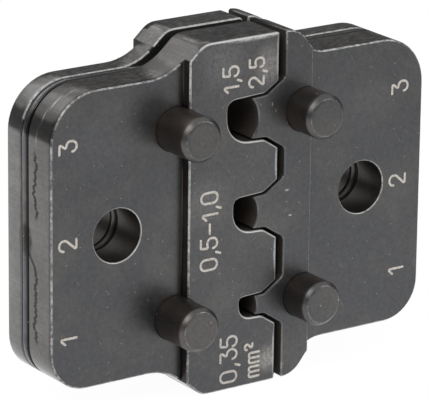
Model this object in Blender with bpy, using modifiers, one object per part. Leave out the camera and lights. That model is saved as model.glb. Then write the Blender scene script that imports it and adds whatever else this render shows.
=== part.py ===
"""Crimp die for open-barrel terminals, in two halves that close onto each other.

The nest half holds three profiled nests, and the anvil half has three teeth that enter them.
Each half is a stack: a front plate, a spacer and a rear plate, held in line by two dowel pins.
The front plates form the insulation crimp and the rear plates form the conductor crimp.

Frame: metres, +Z up, standing on the lower ends of the plates. +X runs from the nest half to
the anvil half, and the marked front faces look along -Y.
"""

import math
from dataclasses import dataclass

import bmesh
import bpy
from mathutils import Matrix, Vector

# Driving dimensions, in millimetres.
MM = 0.001

HEIGHT = 33.0           # over the profiled middle of each half
EAR_HEIGHT = 27.46      # over the ears that the pliers' jaws clamp
NEST_REACH = 23.75      # mating flat to the outer edge of the nest half
ANVIL_REACH = 16.35     # mating flat to the outer edge of the anvil half
CLOSED_GAP = 0.5        # left between the mating flats when the halves are closed

FRONT_EAR = 3.85        # thickness of the front plates' ears
REAR_EAR = 2.3          # thickness of the rear plates' ears
SPACER = 1.15           # room between the plates
STEP = 1.0              # the middle stands this far proud of the ears
SEAM = 0.1              # clearance between a spacer and each plate

EAR_UPPER_RADIUS = 4.7
EAR_LOWER_RADIUS = 3.7
SCREW_HOLE_RADIUS = 2.5
PIN_RADIUS = 2.1
PIN_FIT = 0.05          # radial clearance round a pin
PIN_HEIGHT = 8.85       # pin centres above and below the middle
PIN_PROUD = 3.33        # pin tips beyond the middle's faces
PIN_CHAMFER = 0.35

NEST_CORNER_RADIUS = 0.5    # where the nest half's end face meets its mating flat
NEST_SHOULDER_RADIUS = 2.0
NEST_FOOT_RADIUS = 5.6
ANVIL_SHOULDER_RADIUS = 2.6
ANVIL_FOOT_RADIUS = 3.0
SPACER_CORNER_RADIUS = 1.0

EDGE_BREAK = 0.15       # chamfer along the plates' edges
FLAT_CHAMFER = 0.4      # larger chamfer along the mating flats of the nest half
HOLE_CHAMFER = 0.1

# Distances below run from a half's mating flat into the half.
NEST_STEP = 9.9
NEST_PIN = 10.7
NEST_SCREW = 16.85
NEST_SHOULDER = 8.34    # where the slanted shoulder meets the end face
NEST_SHOULDER_FOOT = 11.42
NEST_SPACER_EDGE = 7.1
ANVIL_STEP = 3.05
ANVIL_PIN = 2.25
ANVIL_SCREW = 9.43
ANVIL_SHOULDER = 1.43
ANVIL_SHOULDER_FOOT = 3.6
ANVIL_SPACER_EDGE = 1.3
ANVIL_LUG_RADIUS = 3.0  # spacer lugs round the anvil half's pins

# The three nests, from the lowest to the highest.
NEST_PITCH = 8.9
LOWEST_NEST = -8.95     # height of the lowest nest from the middle
FRONT_HALF_WIDTHS = (1.10, 1.75, 2.15)
FRONT_DEPTHS = (4.25, 5.0, 5.78)
REAR_HALF_WIDTHS = (0.75, 1.1, 1.5)
REAR_DEPTHS = (3.5, 4.0, 4.6)
KNEE_DEPTH = 1.75       # the mouth flares from here out to the flat
FLARE = 1.15            # widening of the mouth on each side
KNEE_RADIUS = 1.0
FLAT_RADIUS = 0.4
SIDE_TAPER = 0.045      # narrowing per millimetre of depth
LOWER_ROOF_ARC = 1.2    # radii of a roof's arcs, in half-widths of the roof
UPPER_ROOF_ARC = 0.45
CUSP_ARC = 0.58

# The teeth, in the same order.
TOOTH_CLEARANCE = 0.15
TOOTH_KNEE = 2.0        # from the anvil flat out to the knee
TOOTH_KNEE_RADIUS = 0.5
FRONT_TOOTH_REACH = (3.1, 3.4, 3.7)
FRONT_TOOTH_HOLLOW = (0.28, 0.55, 0.8)
REAR_TOOTH_REACH = (3.0, 3.0, 3.0)
REAR_TOOTH_HOLLOW = (0.1, 0.16, 0.22)

CHORD_ERROR = 0.01      # most that a facet may cut into an arc
ROUND_STEPS = 48
SHARP_ANGLE = math.radians(32)
FLAT_ANGLE = math.radians(0.5)
BREAK_ANGLE = math.radians(60)
WELD = 0.002
OVERCUT = 1.0           # by which a cutter reaches past what it cuts
LEVELS = (("upper", 1), ("lower", -1))

WIDTH = NEST_REACH + CLOSED_GAP + ANVIL_REACH
NEST_FLAT_X = NEST_REACH - WIDTH / 2
ANVIL_FLAT_X = NEST_FLAT_X + CLOSED_GAP
MIDDLE_Z = HEIGHT / 2
THICKNESS = FRONT_EAR + SPACER + REAR_EAR + 2 * STEP
FRONT_Y = -THICKNESS / 2
FRONT_BACK_Y = FRONT_Y + STEP + FRONT_EAR
REAR_FRONT_Y = FRONT_BACK_Y + SPACER


def clear_scene():
    """Remove whatever the file holds, so that the model starts empty."""
    for item in list(bpy.data.objects):
        bpy.data.objects.remove(item, do_unlink=True)


def new_collection(name):
    """Make a collection in the scene."""
    collection = bpy.data.collections.new(name)
    bpy.context.scene.collection.children.link(collection)
    return collection


def steel(name, colour, roughness):
    """Make a steel finish."""
    material = bpy.data.materials.new(name)
    material.use_nodes = True
    shader = material.node_tree.nodes["Principled BSDF"]
    shader.inputs["Base Color"].default_value = (*colour, 1.0)
    shader.inputs["Metallic"].default_value = 0.85
    shader.inputs["Roughness"].default_value = roughness
    material.diffuse_color = (*colour, 1.0)
    return material


def arc_steps(radius, angle):
    """Count the facets that keep an arc within the chord error."""
    step = 2 * math.acos(max(-1.0, 1 - CHORD_ERROR / radius))
    return max(2, math.ceil(abs(angle) / step))


def rounded(corners):
    """Turn corners of (across, height, radius) into an outline with tangent arcs."""
    outline = []
    count = len(corners)
    for index, (across, height, radius) in enumerate(corners):
        corner = Vector((across, height))
        if radius == 0:
            outline.append(corner)
            continue
        before = Vector(corners[index - 1][:2]) - corner
        after = Vector(corners[(index + 1) % count][:2]) - corner
        before.normalize()
        after.normalize()
        opening = before.angle(after)
        reach = radius / math.tan(opening / 2)
        start = corner + before * reach
        centre = corner + (before + after).normalized() * radius / math.sin(opening / 2)
        spoke = start - centre
        turn = math.pi - opening
        if before.cross(after) > 0:
            turn = -turn
        steps = arc_steps(radius, turn)
        for step in range(steps + 1):
            outline.append(centre + Matrix.Rotation(turn * step / steps, 2) @ spoke)
    return outline


def bowed(start, end, rise):
    """Sample the arc from start to end whose middle is pushed left of the way by rise."""
    start = Vector(start)
    end = Vector(end)
    half = (end - start).length / 2
    radius = (half ** 2 + rise ** 2) / (2 * abs(rise))
    along = (end - start).normalized()
    left = Vector((-along.y, along.x)) * math.copysign(1, rise)
    centre = (start + end) / 2 + left * (abs(rise) - radius)
    sweep = 2 * math.asin(half / radius)
    steps = arc_steps(radius, sweep)
    points = []
    for step in range(steps + 1):
        angle = sweep * (step / steps - 0.5)
        points.append(centre + (left * math.cos(angle) + along * math.sin(angle)) * radius)
    return points


def plain(points):
    """Mark points as corners without a radius."""
    return [(point[0], point[1], 0) for point in points]


def nest_height(index):
    """Give the height of a nest's centre from the middle of the die."""
    return LOWEST_NEST + index * NEST_PITCH


def front_roof(centre, half_width, depth):
    """Give the roof corners of an insulation nest: a wide arc below and a tighter one above."""
    roof = half_width - SIDE_TAPER * (depth - KNEE_DEPTH)
    return [
        (depth, centre - roof, LOWER_ROOF_ARC * roof),
        (depth, centre + roof, UPPER_ROOF_ARC * roof),
    ]


def rear_roof(centre, half_width, depth):
    """Give the roof of a conductor nest: two arcs that meet in a cusp."""
    roof = half_width - SIDE_TAPER * (depth - KNEE_DEPTH)
    radius = CUSP_ARC * roof
    offset = roof - radius
    last = math.pi - math.acos(offset / radius)
    steps = arc_steps(radius, last)
    lower = []
    for step in range(steps + 1):
        angle = last * step / steps
        across = depth - radius + radius * math.sin(angle)
        lower.append((across, -offset - radius * math.cos(angle)))
    upper = [(across, -height) for across, height in reversed(lower[:-1])]
    return plain((across, centre + height) for across, height in lower + upper)


def nest_edge(half_widths, depths, roof):
    """Give the mating edge of a nest plate, from the bottom to the top."""
    edge = []
    for index, (half_width, depth) in enumerate(zip(half_widths, depths)):
        centre = nest_height(index)
        mouth = half_width + FLARE
        edge.append((0, centre - mouth, FLAT_RADIUS))
        edge.append((KNEE_DEPTH, centre - half_width, KNEE_RADIUS))
        edge.extend(roof(centre, half_width, depth))
        edge.append((KNEE_DEPTH, centre + half_width, KNEE_RADIUS))
        edge.append((0, centre + mouth, FLAT_RADIUS))
    return edge


def tooth_edge(half_widths, reaches, hollows):
    """Give the mating edge of an anvil plate, from the bottom to the top."""
    edge = []
    for index, half_width in enumerate(half_widths):
        centre = nest_height(index)
        width = half_width - TOOTH_CLEARANCE
        root = width + FLARE + TOOTH_CLEARANCE
        tip = width - SIDE_TAPER * (reaches[index] - TOOTH_KNEE)
        reach = -reaches[index]
        edge.append((0, centre - root, FLAT_RADIUS))
        edge.append((-TOOTH_KNEE, centre - width, TOOTH_KNEE_RADIUS))
        edge.extend(plain(bowed((reach, centre - tip), (reach, centre + tip), -hollows[index])))
        edge.append((-TOOTH_KNEE, centre + width, TOOTH_KNEE_RADIUS))
        edge.append((0, centre + root, FLAT_RADIUS))
    return edge


def nest_shoulders(side):
    """Give the corners of the nest half's end, on the side +1 above or -1 below."""
    end = side * HEIGHT / 2
    ear = side * EAR_HEIGHT / 2
    return [
        (0, end, NEST_CORNER_RADIUS),
        (NEST_SHOULDER, end, NEST_SHOULDER_RADIUS),
        (NEST_SHOULDER_FOOT, ear, NEST_FOOT_RADIUS),
    ]


def anvil_shoulders(side):
    """Give the corners of the anvil half's end, on the side +1 above or -1 below."""
    end = side * HEIGHT / 2
    ear = side * EAR_HEIGHT / 2
    return [
        (0, end, 0),
        (ANVIL_SHOULDER, end, ANVIL_SHOULDER_RADIUS),
        (ANVIL_SHOULDER_FOOT, ear, ANVIL_FOOT_RADIUS),
    ]


@dataclass(frozen=True)
class Half:
    """One half of the die, whose distances run from its mating flat."""

    name: str
    side: int               # -1 reaches towards -X from its flat, +1 towards +X
    flat_x: float
    reach: float
    step: float
    pin: float
    screw: float
    spacer_edge: float
    lug_radius: float       # 0 where the spacer has a straight edge
    shoulders: object

    def across(self, distance):
        """Turn a distance from the flat into X."""
        return self.flat_x + self.side * distance


NEST = Half(
    name="nest",
    side=-1,
    flat_x=NEST_FLAT_X,
    reach=NEST_REACH,
    step=NEST_STEP,
    pin=NEST_PIN,
    screw=NEST_SCREW,
    spacer_edge=NEST_SPACER_EDGE,
    lug_radius=0,
    shoulders=nest_shoulders,
)
ANVIL = Half(
    name="anvil",
    side=1,
    flat_x=ANVIL_FLAT_X,
    reach=ANVIL_REACH,
    step=ANVIL_STEP,
    pin=ANVIL_PIN,
    screw=ANVIL_SCREW,
    spacer_edge=ANVIL_SPACER_EDGE,
    lug_radius=ANVIL_LUG_RADIUS,
    shoulders=anvil_shoulders,
)


def whole_outline(half, edge):
    """Close a half's outline: the top end, the ear, the bottom end and the mating edge."""
    ear = EAR_HEIGHT / 2
    corners = half.shoulders(1)
    corners += [(half.reach, ear, EAR_UPPER_RADIUS), (half.reach, -ear, EAR_LOWER_RADIUS)]
    corners += reversed(half.shoulders(-1))
    corners += edge
    return rounded(corners)


def lug(half, height):
    """Give the arc by which a spacer's edge bulges round a pin, from below to above."""
    last = math.acos((half.pin - half.spacer_edge) / half.lug_radius)
    steps = arc_steps(half.lug_radius, 2 * last)
    points = []
    for step in range(steps + 1):
        angle = last * (2 * step / steps - 1)
        across = half.pin - half.lug_radius * math.cos(angle)
        points.append((across, height + half.lug_radius * math.sin(angle)))
    return plain(points)


def spacer_outline(half):
    """Draw a spacer: flush with the ears, and set back from the nests and teeth."""
    ear = EAR_HEIGHT / 2
    corners = [
        (half.spacer_edge, ear, SPACER_CORNER_RADIUS),
        (half.reach, ear, EAR_UPPER_RADIUS),
        (half.reach, -ear, EAR_LOWER_RADIUS),
        (half.spacer_edge, -ear, SPACER_CORNER_RADIUS),
    ]
    if half.lug_radius:
        corners += lug(half, -PIN_HEIGHT)
        corners += lug(half, PIN_HEIGHT)
    return rounded(corners)


def as_mesh(drawn, collection):
    """Replace a drawn object with a mesh object of its evaluated shape, flat caps whole."""
    bpy.context.scene.collection.objects.link(drawn)
    bpy.context.view_layer.update()
    evaluated = drawn.evaluated_get(bpy.context.evaluated_depsgraph_get())
    mesh = bpy.data.meshes.new_from_object(evaluated)
    shape = bmesh.new()
    shape.from_mesh(mesh)
    bmesh.ops.remove_doubles(shape, verts=shape.verts, dist=WELD * MM)
    bmesh.ops.dissolve_limit(
        shape, angle_limit=FLAT_ANGLE, verts=shape.verts, edges=shape.edges, use_dissolve_boundaries=False
    )
    shape.to_mesh(mesh)
    shape.free()
    mesh.shade_smooth()
    mesh.set_sharp_from_angle(angle=SHARP_ANGLE)
    name = drawn.name
    place = drawn.matrix_world.copy()
    bpy.data.objects.remove(drawn, do_unlink=True)
    piece = bpy.data.objects.new(name, mesh)
    piece.matrix_world = place
    collection.objects.link(piece)
    return piece


def slab(name, outline, half, low_y, high_y, collection):
    """Extrude a half's outline between two depths."""
    curve = bpy.data.curves.new(name, "CURVE")
    curve.dimensions = "2D"
    curve.fill_mode = "BOTH"
    curve.extrude = (high_y - low_y) / 2 * MM
    spline = curve.splines.new("POLY")
    spline.points.add(len(outline) - 1)
    for target, point in zip(spline.points, outline):
        target.co = (half.across(point.x) * MM, (MIDDLE_Z + point.y) * MM, 0, 1)
    spline.use_cyclic_u = True
    drawn = bpy.data.objects.new(name, curve)
    drawn.rotation_euler = (math.pi / 2, 0, 0)
    drawn.location = (0, (low_y + high_y) / 2 * MM, 0)
    return as_mesh(drawn, collection)


def turned(name, profile, across, height, collection):
    """Turn a profile of (radius, depth), given from the front back, about an axis along Y."""
    mesh = bpy.data.meshes.new(name)
    points = [(radius * MM, 0, -depth * MM) for radius, depth in profile]
    edges = [(index, index + 1) for index in range(len(points) - 1)]
    mesh.from_pydata(points, edges, [])
    drawn = bpy.data.objects.new(name, mesh)
    drawn.location = (across * MM, 0, height * MM)
    drawn.rotation_euler = (math.pi / 2, 0, 0)
    screw = drawn.modifiers.new("turn", "SCREW")
    screw.axis = "Z"
    screw.steps = ROUND_STEPS
    screw.render_steps = ROUND_STEPS
    screw.use_merge_vertices = True
    screw.merge_threshold = WELD * MM
    return as_mesh(drawn, collection)


def drill(name, radius, near_y, far_y, across, height, collection):
    """Make a hole's cutter, whose ends open as cones to chamfer the rims of the two faces."""
    mouth = radius + HOLE_CHAMFER + OVERCUT
    profile = [
        (0, near_y - OVERCUT),
        (mouth, near_y - OVERCUT),
        (radius, near_y + HOLE_CHAMFER),
        (radius, far_y - HOLE_CHAMFER),
        (mouth, far_y + OVERCUT),
        (0, far_y + OVERCUT),
    ]
    return turned(name, profile, across, height, collection)


def block(name, size, centre, collection, turn=0):
    """Make a rectangular cutter, turned about the vertical."""
    mesh = bpy.data.meshes.new(name)
    shape = bmesh.new()
    bmesh.ops.create_cube(shape, size=1)
    bmesh.ops.scale(shape, vec=Vector(size) * MM, verts=shape.verts)
    shape.to_mesh(mesh)
    shape.free()
    piece = bpy.data.objects.new(name, mesh)
    piece.rotation_euler = (0, 0, turn)
    piece.location = Vector(centre) * MM
    collection.objects.link(piece)
    return piece


def step_mill(name, half, facing, collection):
    """Make the cutter that lowers a plate's ear from its middle."""
    length = half.reach - half.step + OVERCUT
    across = half.across(half.step) + half.side * length / 2
    face_y = facing * (THICKNESS / 2 + OVERCUT / 2 - STEP / 2)
    size = (length, STEP + OVERCUT, HEIGHT + OVERCUT)
    return block(name, size, (across, face_y, MIDDLE_Z), collection)


def edge_mill(name, half, facing, collection):
    """Make the cutter that chamfers the vertical edge where the flat meets a face."""
    side = FLAT_CHAMFER * math.sqrt(2)
    size = (side, side, HEIGHT + OVERCUT)
    centre = (half.flat_x, facing * THICKNESS / 2, MIDDLE_Z)
    return block(name, size, centre, collection, turn=math.pi / 4)


def cut(piece, cutter):
    """Cut a piece with a cutter, which stays in the file as a guide."""
    modifier = piece.modifiers.new(cutter.name, "BOOLEAN")
    modifier.operation = "DIFFERENCE"
    modifier.solver = "EXACT"
    modifier.object = cutter
    cutter.hide_render = True
    cutter.display_type = "WIRE"


def break_edges(piece):
    """Chamfer every sharp edge that a piece has so far."""
    modifier = piece.modifiers.new("break_edges", "BEVEL")
    modifier.width = EDGE_BREAK * MM
    modifier.segments = 1
    modifier.limit_method = "ANGLE"
    modifier.angle_limit = BREAK_ANGLE
    modifier.use_clamp_overlap = False


def bore(piece, half, near_y, far_y, cutters):
    """Drill a half's screw hole and its two pin holes through a piece."""
    across = half.across(half.screw)
    name = piece.name + "_screw_hole"
    cut(piece, drill(name, SCREW_HOLE_RADIUS, near_y, far_y, across, MIDDLE_Z, cutters))
    reach = THICKNESS / 2 + OVERCUT
    radius = PIN_RADIUS + PIN_FIT
    profile = [(0, -reach), (radius, -reach), (radius, reach), (0, reach)]
    for label, side in LEVELS:
        height = MIDDLE_Z + side * PIN_HEIGHT
        name = f"{piece.name}_{label}_pin_hole"
        cut(piece, turned(name, profile, half.across(half.pin), height, cutters))


def build_plate(name, half, facing, edge, parts, cutters):
    """Build a front plate (facing -1) or a rear plate (facing +1) of a half."""
    face_y = facing * THICKNESS / 2
    inner_y = FRONT_BACK_Y if facing < 0 else REAR_FRONT_Y
    plate = slab(name, whole_outline(half, edge), half, *sorted((face_y, inner_y)), parts)
    cut(plate, step_mill(name + "_step_mill", half, facing, cutters))
    break_edges(plate)
    bore(plate, half, *sorted((face_y - facing * STEP, inner_y)), cutters)
    if half is NEST:
        cut(plate, edge_mill(name + "_edge_mill", half, facing, cutters))
    return plate


def build_spacer(name, half, parts, cutters):
    """Build the spacer between a half's plates."""
    low_y = FRONT_BACK_Y + SEAM
    high_y = REAR_FRONT_Y - SEAM
    spacer = slab(name, spacer_outline(half), half, low_y, high_y, parts)
    break_edges(spacer)
    bore(spacer, half, low_y, high_y, cutters)
    return spacer


def build_pin(name, half, height, parts):
    """Build a dowel pin, chamfered at both tips."""
    tip = THICKNESS / 2 + PIN_PROUD
    flat = PIN_RADIUS - PIN_CHAMFER
    profile = [
        (0, -tip),
        (flat, -tip),
        (PIN_RADIUS, PIN_CHAMFER - tip),
        (PIN_RADIUS, tip - PIN_CHAMFER),
        (flat, tip),
        (0, tip),
    ]
    return turned(name, profile, half.across(half.pin), height, parts)


def build_half(half, front_edge, rear_edge, finishes, parts, cutters):
    """Build one half of the die under an empty on the line that it slides along."""
    carrier = bpy.data.objects.new(half.name + "_die", None)
    carrier.location = (half.flat_x * MM, 0, MIDDLE_Z * MM)
    parts.objects.link(carrier)
    pieces = [
        (build_plate(half.name + "_front_plate", half, -1, front_edge, parts, cutters), "plate"),
        (build_spacer(half.name + "_spacer", half, parts, cutters), "spacer"),
        (build_plate(half.name + "_rear_plate", half, 1, rear_edge, parts, cutters), "plate"),
    ]
    for label, side in LEVELS:
        name = f"{half.name}_{label}_pin"
        pieces.append((build_pin(name, half, MIDDLE_Z + side * PIN_HEIGHT, parts), "pin"))
    bpy.context.view_layer.update()
    for piece, finish in pieces:
        piece.data.materials.clear()
        piece.data.materials.append(finishes[finish])
        piece.parent = carrier
        piece.matrix_parent_inverse = carrier.matrix_world.inverted()


def main():
    """Build both halves, closed onto each other."""
    clear_scene()
    parts = new_collection("crimp_die")
    cutters = new_collection("cutters")
    finishes = {
        "plate": steel("blackened_steel", (0.095, 0.096, 0.100), 0.42),
        "spacer": steel("ground_steel", (0.115, 0.117, 0.124), 0.40),
        "pin": steel("dowel_steel", (0.114, 0.114, 0.116), 0.38),
    }
    build_half(
        NEST,
        nest_edge(FRONT_HALF_WIDTHS, FRONT_DEPTHS, front_roof),
        nest_edge(REAR_HALF_WIDTHS, REAR_DEPTHS, rear_roof),
        finishes,
        parts,
        cutters,
    )
    build_half(
        ANVIL,
        tooth_edge(FRONT_HALF_WIDTHS, FRONT_TOOTH_REACH, FRONT_TOOTH_HOLLOW),
        tooth_edge(REAR_HALF_WIDTHS, REAR_TOOTH_REACH, REAR_TOOTH_HOLLOW),
        finishes,
        parts,
        cutters,
    )


main()
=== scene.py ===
"""Looks of a crimp die in two halves, each a pinned stack of plates under black oxide.

The plates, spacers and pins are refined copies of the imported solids. Their rims carry their wear
as a number, which the steel reads, and each kind of surface has a procedural steel of its own.
Sizes are in millimetres until a piece is finished, and in the frame's own metres after that.
"""

import logging
import math
from dataclasses import dataclass, field
from enum import Enum
from typing import Iterable, Optional, Sequence, Union

import bmesh
import bpy
from mathutils import Matrix, Vector

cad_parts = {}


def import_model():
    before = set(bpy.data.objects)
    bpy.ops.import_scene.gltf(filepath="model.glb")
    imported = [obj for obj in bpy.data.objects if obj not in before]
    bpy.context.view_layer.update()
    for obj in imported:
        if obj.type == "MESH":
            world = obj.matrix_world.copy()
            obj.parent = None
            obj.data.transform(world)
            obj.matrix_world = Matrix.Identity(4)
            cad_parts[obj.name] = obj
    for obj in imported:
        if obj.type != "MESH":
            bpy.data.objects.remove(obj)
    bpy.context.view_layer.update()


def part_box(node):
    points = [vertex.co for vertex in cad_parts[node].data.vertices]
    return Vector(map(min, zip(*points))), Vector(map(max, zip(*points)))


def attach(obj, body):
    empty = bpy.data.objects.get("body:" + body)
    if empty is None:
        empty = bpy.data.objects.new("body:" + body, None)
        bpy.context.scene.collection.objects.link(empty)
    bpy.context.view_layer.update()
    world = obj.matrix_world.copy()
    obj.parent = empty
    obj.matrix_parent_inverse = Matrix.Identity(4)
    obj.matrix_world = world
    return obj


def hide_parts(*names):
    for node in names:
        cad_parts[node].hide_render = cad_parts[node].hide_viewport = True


LOG = logging.getLogger("crimp_die")

MM = 0.001
PER_MM = 1000.0

Colour = tuple[float, float, float]
Point = tuple[float, float, float]
Span = tuple[float, float]
Value = Union["Signal", float, Sequence[float]]
Stroke = tuple[bool, list[Point]]

# Places on the die, along the frame's axes.
OUTER_EDGE = -20.3  # the nest half's heel
HOLE_INSET = 6.91  # from a heel to the centre of the screw hole
HOLE_REACH = 2.75  # a little more than the screw hole's radius
NEST_SIDE = -10.0  # only the nest half's pieces start further left
EAR_FACE = -3.65
MIDDLE_FACE = -4.65
MOUTH = (-2.5, 4.1)  # the mating edges lie between these
STEPS = (-6.45, 7.0)  # where the raised middle of each half ends
SEAM = 0.25  # depth of the seam in front of the spacers
INNER_BREAK = 0.125  # depth of the front plates' inner broken edge
NEST_FLATS = ((30.8, 2.6), (20.9, 2.1), (12.2, 2.1), (2.6, 2.7))  # mid and half height

# How near a face's middle is to the feature that it belongs to.
STEP_REACH = 0.1
STEP_FOOT_REACH = 0.3
STEP_FOOT_DEPTH = 0.2  # outward from the ear's face
HOLE_RIM_DEPTH = 0.5  # inward from the ear's face
BREAK_REACH = 0.2
MOUTH_MARGIN = 0.1

# A wall's normal has less than WALL_TILT along Y, and a face's more than FACE_TILT.
WALL_TILT = 0.01
FACE_TILT = 0.99

# Tolerances of the meshes.
DOUBLES = 0.0004
WELD = 0.0005
FLATNESS = math.radians(0.3)

PLAIN_WEAR = 0.75
SPACER_WEAR = 0.5


class Facing(Enum):
    """The side of the die that a plate closes."""

    FRONT = "front"
    REAR = "rear"


class Skin(Enum):
    """The kinds of surface on a plate, numbered as its material slots."""

    FACE = 0
    WALL = 1
    RIM = 2
    BORE = 3
    # The mating walls and the front plates' inner broken edge, which carry painted shade.
    MATING_SHADED = 4
    # The ends of the raised middle and their feet, which carry painted shade.
    STEP = 5


class Grain(Enum):
    """The way that the fine lines of a finish run."""

    NONE = "none"
    THROUGH = "through"
    RINGS = "rings"


@dataclass(frozen=True)
class Noise:
    """A smooth noise about 0.5, by its waves per millimetre and its octaves."""

    scale: float
    detail: float = 2.0
    roughness: float = 0.5


@dataclass(frozen=True)
class Dots:
    """Sparse round dots, by their cells per millimetre and their radius in cells."""

    scale: float
    radius: float
    share: float
    strength: float


# The steel's noises, and the spans over which they step from 0 to 1.
FINE = Noise(11.0, 3.0, 0.6)
MOTTLE = Noise(2.4, 3.0, 0.65)
RAGGED = Noise(2.6, 4.0, 0.7)
CLOUDS = Noise(0.22, 4.0, 0.6)
CLOUD_SPAN = (0.45, 0.65)
SOOT = Noise(0.5, 3.0, 0.6)
SOOT_SPAN = (0.5, 0.7)
PATCHES = Noise(1.5, 6.0, 0.75)
PATCH_SPAN = (0.34, 0.68)
PATCH_STRETCH = (1, 1.8, 1)
PULSES = Noise(7.0, 2.0, 0.6)
PULSE_SPAN = (0.35, 0.6)

# How strongly the noises act on the steel's tone, roughness and height.
FINE_TONE = 0.3
MOTTLE_TONE = 0.6
FINE_ROUGHNESS = 0.08
MOTTLE_ROUGHNESS = 0.12
FINE_HEIGHT = 0.5
MOTTLE_HEIGHT = 0.8
BUMP = 0.004
GRAIN_STRETCH = 0.25

# Bare steel along the rims, in specks and in scratches.
RIM_RAGGEDNESS = 0.9
BARE_POLISH = 0.08
BARE_DULLNESS = 0.7
SPECKS = Dots(1.0, 0.09, 0.4, 0.5)
FLECKS = (Dots(0.7, 0.055, 0.22, 0.4), Dots(1.9, 0.10, 0.25, 0.18))
SCRATCHES = (
    (0.5, Dots(1.1, 0.035, 0.30, 0.2)),
    (-0.9, Dots(1.1, 0.035, 0.22, 0.2)),
    (2.3, Dots(1.1, 0.035, 0.18, 0.2)),
)
SCRATCH_STRETCH = (1, 0.07, 1)
DOT_CORE = 0.4
DOT_LOT = 0.5

# Dirt and patches; painted shade in the seam and on the front ears' walls behind the front face;
# and painted light and shade, in mottled patches, on what faces up or down.
DARK = (0.020, 0.018, 0.017)
STAIN_OR_LIGHT_CORE = 0.15
STAIN_OR_LIGHT_SPAN = (0.32, 0.6)
STAIN_OR_LIGHT_RAGGED = 0.6
STAIN_OR_LIGHT_FINE = 0.4
SEAM_SHADE_SPAN = (0.34, 0.16)
SEAM_SHADE_SHARE = 0.85
EAR_SPAN = (7.0, 8.5)
LIP_SHADE_WIDTH = 0.45
LIP_SHADE_SHARE = 0.55
END_SLOPE = (0.93, 0.995)
END_LOW = 0.4
END_SWING = 1.25


class Signal:
    """A socket's value, on which arithmetic adds Math nodes."""

    def __init__(self, graph: "Graph", socket: bpy.types.NodeSocket) -> None:
        """Wrap a socket of a graph."""
        self.graph = graph
        self.socket = socket

    def __add__(self, other: Value) -> "Signal":
        """Add."""
        return self.graph.maths("ADD", self, other)

    def __radd__(self, other: Value) -> "Signal":
        """Add, from the right."""
        return self.graph.maths("ADD", other, self)

    def __sub__(self, other: Value) -> "Signal":
        """Subtract."""
        return self.graph.maths("SUBTRACT", self, other)

    def __rsub__(self, other: Value) -> "Signal":
        """Subtract from a value."""
        return self.graph.maths("SUBTRACT", other, self)

    def __mul__(self, other: Value) -> "Signal":
        """Multiply."""
        return self.graph.maths("MULTIPLY", self, other)

    def __rmul__(self, other: Value) -> "Signal":
        """Multiply, from the right."""
        return self.graph.maths("MULTIPLY", other, self)

    def __abs__(self) -> "Signal":
        """Drop the sign."""
        return self.graph.maths("ABSOLUTE", self)


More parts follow.
